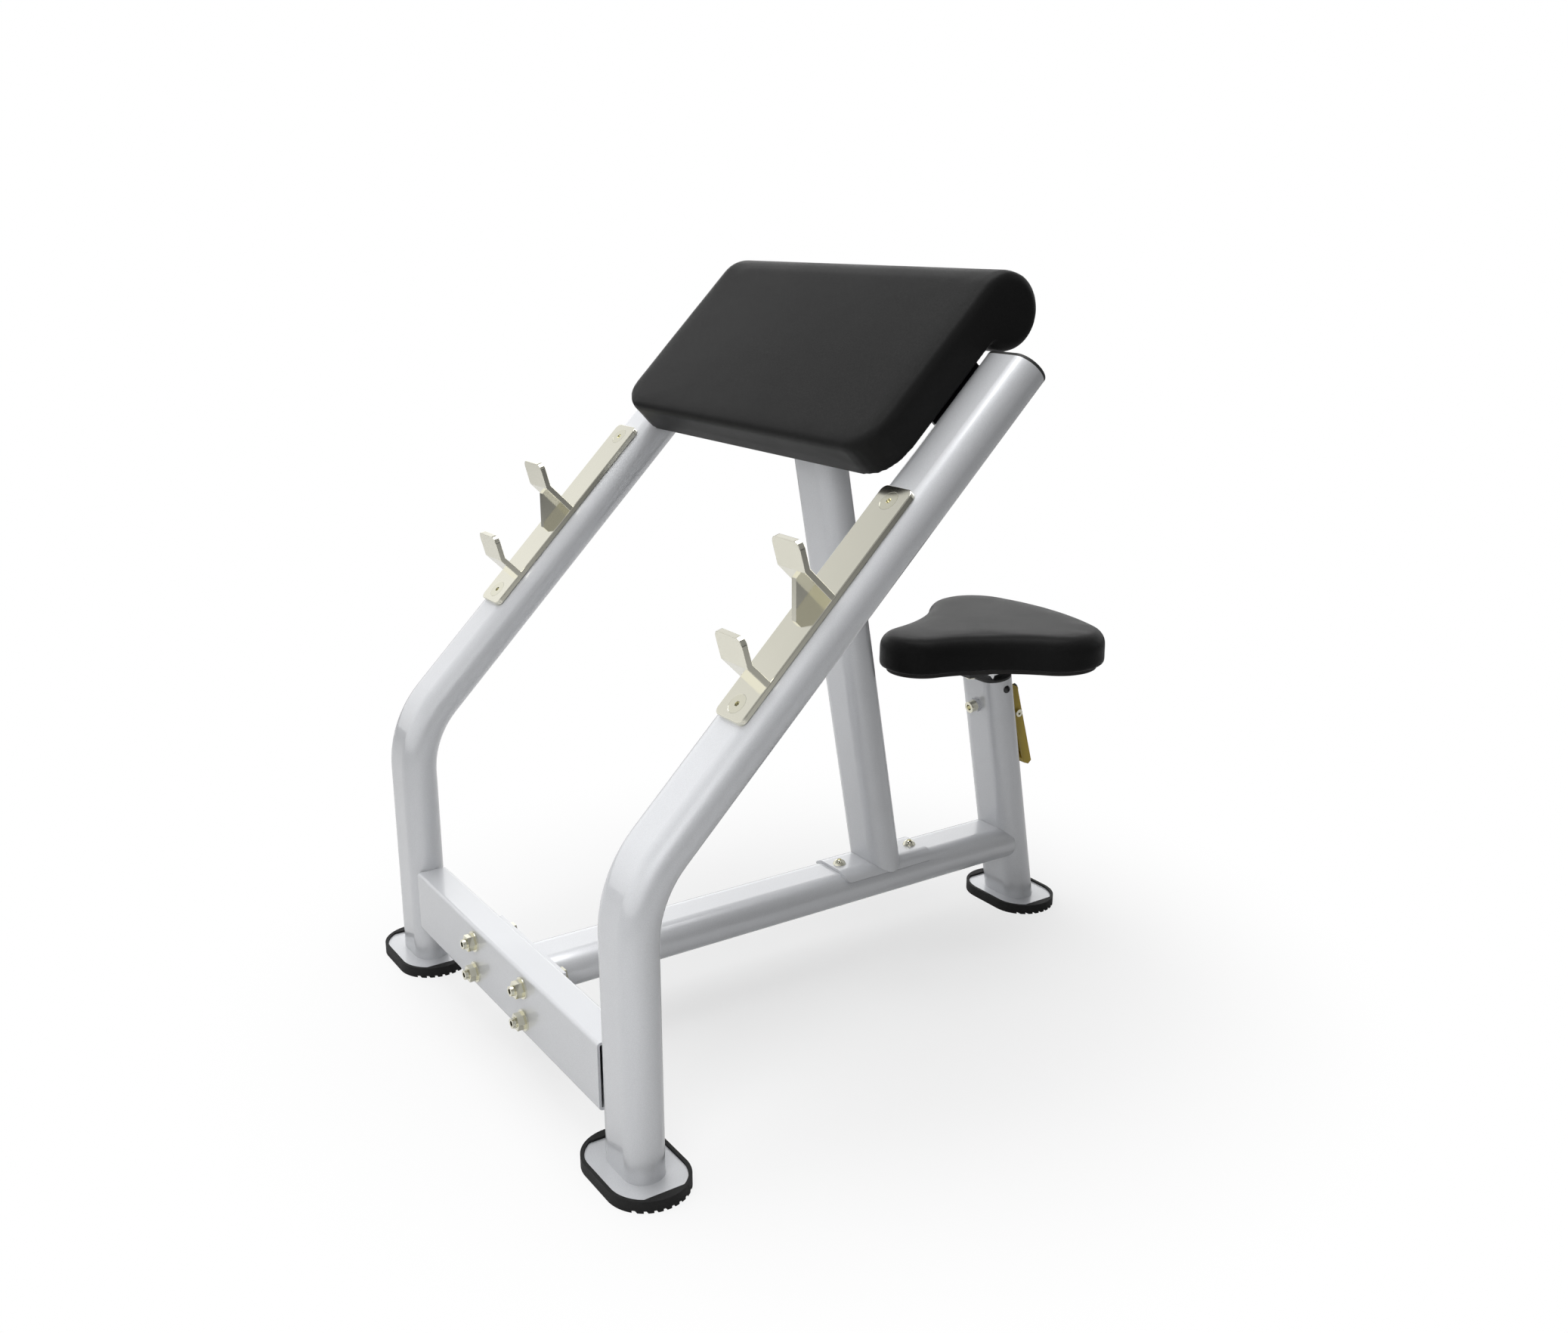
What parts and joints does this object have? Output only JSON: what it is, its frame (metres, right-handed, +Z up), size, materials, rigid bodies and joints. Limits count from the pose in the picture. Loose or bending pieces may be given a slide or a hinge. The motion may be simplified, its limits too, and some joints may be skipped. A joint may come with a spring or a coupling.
{
  "type": "preacher curl bench",
  "caption": "Preacher curl bench: sloping arm pad and bar hooks on bent flat-oval uprights, and a saddle seat whose height a spring pin locks and a squeeze lever frees",
  "frame": {"origin": "centre of the overall box on the floor, under the middle of the bench", "axes": "+Z up, +Y from the bar rack towards the seat, +X across the bench"},
  "size_m": [0.74, 0.904, 0.9117],
  "materials": {
    "frame_paint": "fine silver metallic powder coat, semi-gloss",
    "plated_rack": "bright nickel plate",
    "plated_fasteners": "nickel plate",
    "chrome_tube": "mirror chrome",
    "spring_steel": "oiled spring wire",
    "black_steel": "black semi-gloss paint",
    "black_plastic": "moulded, satin",
    "black_rubber": "moulded, matt",
    "black_vinyl": "vinyl over foam, fine grain",
    "plywood": "black-stained plywood",
    "yellow_paint": "yellow powder coat"
  },
  "bodies": {
    "frame": {"left_upright": "frame_paint", "right_upright": "frame_paint", "front_crossbeam": "frame_paint", "base_beam": "frame_paint", "beam_flange": "frame_paint", "center_post": "frame_paint", "saddle_plate": "frame_paint", "seat_post": "frame_paint", "left_foot_plate": "frame_paint", "right_foot_plate": "frame_paint", "rear_foot_plate": "frame_paint", "pad_plate": "frame_paint", "guide_nut": "frame_paint", "lever_bracket": "frame_paint", "pin_guide": "frame_paint", "left_rack_plate": "plated_rack", "right_rack_plate": "plated_rack", "left_upper_hook": "plated_rack", "right_upper_hook": "plated_rack", "left_lower_hook": "plated_rack", "right_lower_hook": "plated_rack", "left_gusset": "plated_rack", "right_gusset": "plated_rack", "flange_bolts": "plated_fasteners", "flange_washers": "plated_fasteners", "flange_nuts": "plated_fasteners", "saddle_bolts": "plated_fasteners", "saddle_nuts": "plated_fasteners", "rack_screws": "plated_fasteners", "guide_screw": "plated_fasteners", "pivot_bolt": "plated_fasteners", "pivot_nut": "plated_fasteners", "pad_screws": "plated_fasteners", "pin_spring": "spring_steel", "left_pad_bracket": "black_steel", "right_pad_bracket": "black_steel", "sleeve_screw": "black_steel", "left_end_cap": "black_plastic", "right_end_cap": "black_plastic", "post_sleeve": "black_plastic", "left_rubber_foot": "black_rubber", "right_rubber_foot": "black_rubber", "rear_rubber_foot": "black_rubber", "arm_pad": "black_vinyl", "pad_board": "plywood"},
    "seat": {"seat_tube": "chrome_tube", "seat_plate": "black_steel", "seat_screws": "plated_fasteners", "seat_board": "plywood", "seat_cushion": "black_vinyl"},
    "lever": {"lever": "yellow_paint"},
    "locking_pin": {"locking_pin": "plated_fasteners"}
  },
  "joints": [
    {"name": "seat_slide", "type": "slide", "parent": "frame", "child": "seat", "axis": [0, -0.1702, 0.9854], "range_m": [0, 0.12]},
    {"name": "lever_pivot", "type": "hinge", "parent": "frame", "child": "lever", "pos_m": [0, 0.37369, 0.29035], "axis": [-1, 0, 0], "range_deg": [0, 7.5], "stiffness_Nm_per_rad": 3, "springref_deg": -5.73},
    {"name": "pin_slide", "type": "slide", "parent": "frame", "child": "locking_pin", "axis": [0, 0.9854, 0.1702], "range_m": [0, 0.0045], "deforming": ["pin_spring"]}
  ],
  "couplings": [
    {"joint": "pin_slide", "follows": "lever_pivot", "m_per_rad": 0.032}
  ]
}
